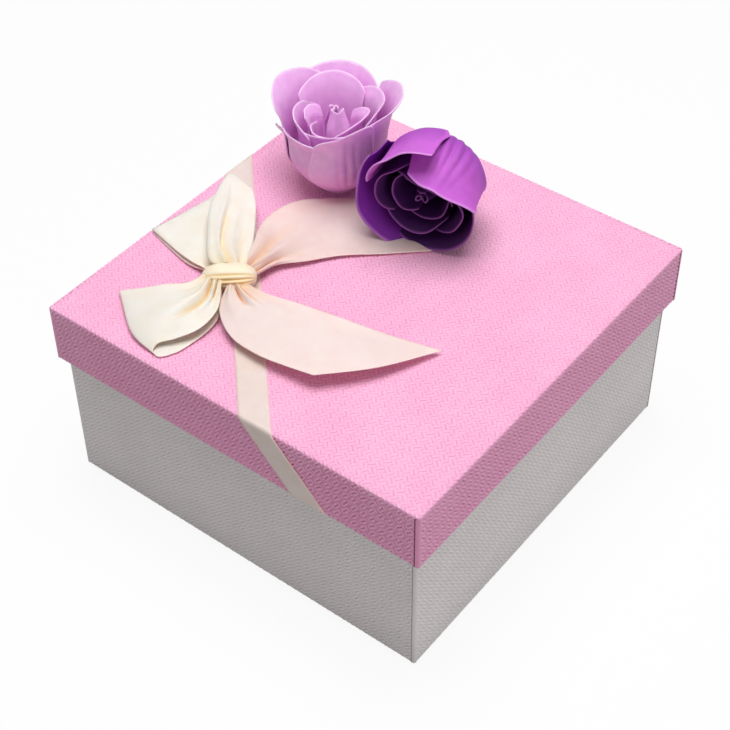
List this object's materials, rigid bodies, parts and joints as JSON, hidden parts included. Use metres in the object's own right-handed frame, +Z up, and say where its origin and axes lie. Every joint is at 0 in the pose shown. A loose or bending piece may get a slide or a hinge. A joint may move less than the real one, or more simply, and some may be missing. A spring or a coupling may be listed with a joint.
{
  "type": "gift box",
  "caption": "Square gift box with a lift-off lid, covered in embossed paper, with a satin ribbon and bow across one corner and rose heads fixed on the lid.",
  "frame": {"origin": "middle of the base's underside", "axes": "+Z up, the way the lid lifts; -Y is the front face and +X the right face; the bow is on the front left of the lid"},
  "size_m": [0.2003, 0.2003, 0.1525],
  "materials": {
    "pink_embossed_paper": "embossed matt paper with a fine basket weave",
    "white_embossed_paper": "embossed matt paper with a fine basket weave",
    "lining_paper": "smooth uncoated paper",
    "corner_tape": "gummed kraft paper",
    "grey_board": "uncoated grey board",
    "cream_satin": "polyester satin, soft sheen",
    "lilac_petal": "pressed soap sheet, waxy",
    "purple_petal": "pressed soap sheet, matt",
    "hot_melt_glue": "set hot melt"
  },
  "bodies": {
    "base": {"base_back_board": "grey_board", "base_bottom_sheet": "white_embossed_paper", "base_corner_stays": "corner_tape", "base_floor_board": "grey_board", "base_floor_liner": "lining_paper", "base_front_board": "grey_board", "base_left_board": "grey_board", "base_right_board": "grey_board", "base_wall_liner": "lining_paper", "base_wrap": "white_embossed_paper"},
    "lid": {"bow_back_loop": "cream_satin", "bow_front_loop": "cream_satin", "bow_knot": "cream_satin", "bow_lower_tail": "cream_satin", "bow_upper_tail": "cream_satin", "lid_back_board": "grey_board", "lid_corner_stays": "corner_tape", "lid_front_board": "grey_board", "lid_left_board": "grey_board", "lid_liner": "lining_paper", "lid_right_board": "grey_board", "lid_top_board": "grey_board", "lid_wrap": "pink_embossed_paper", "lilac_rose_bud": "lilac_petal", "lilac_rose_glue": "hot_melt_glue", "lilac_rose_inner_petal_1": "lilac_petal", "lilac_rose_inner_petal_2": "lilac_petal", "lilac_rose_inner_petal_3": "lilac_petal", "lilac_rose_middle_petal_1": "lilac_petal", "lilac_rose_middle_petal_2": "lilac_petal", "lilac_rose_middle_petal_3": "lilac_petal", "lilac_rose_middle_petal_4": "lilac_petal", "lilac_rose_outer_petal_1": "lilac_petal", "lilac_rose_outer_petal_2": "lilac_petal", "lilac_rose_outer_petal_3": "lilac_petal", "lilac_rose_outer_petal_4": "lilac_petal", "lilac_rose_outer_petal_5": "lilac_petal", "lilac_rose_plug": "lilac_petal", "purple_rose_bud": "purple_petal", "purple_rose_glue": "hot_melt_glue", "purple_rose_inner_petal_1": "purple_petal", "purple_rose_inner_petal_2": "purple_petal", "purple_rose_inner_petal_3": "purple_petal", "purple_rose_middle_petal_1": "purple_petal", "purple_rose_middle_petal_2": "purple_petal", "purple_rose_middle_petal_3": "purple_petal", "purple_rose_middle_petal_4": "purple_petal", "purple_rose_outer_petal_1": "purple_petal", "purple_rose_outer_petal_2": "purple_petal", "purple_rose_outer_petal_3": "purple_petal", "purple_rose_outer_petal_4": "purple_petal", "purple_rose_plug": "purple_petal", "ribbon_band": "cream_satin"}
  },
  "joints": [
    {"name": "lid_lift", "type": "slide", "parent": "base", "child": "lid", "axis": [0, 0, 1], "range_m": [0, 0.12]}
  ]
}
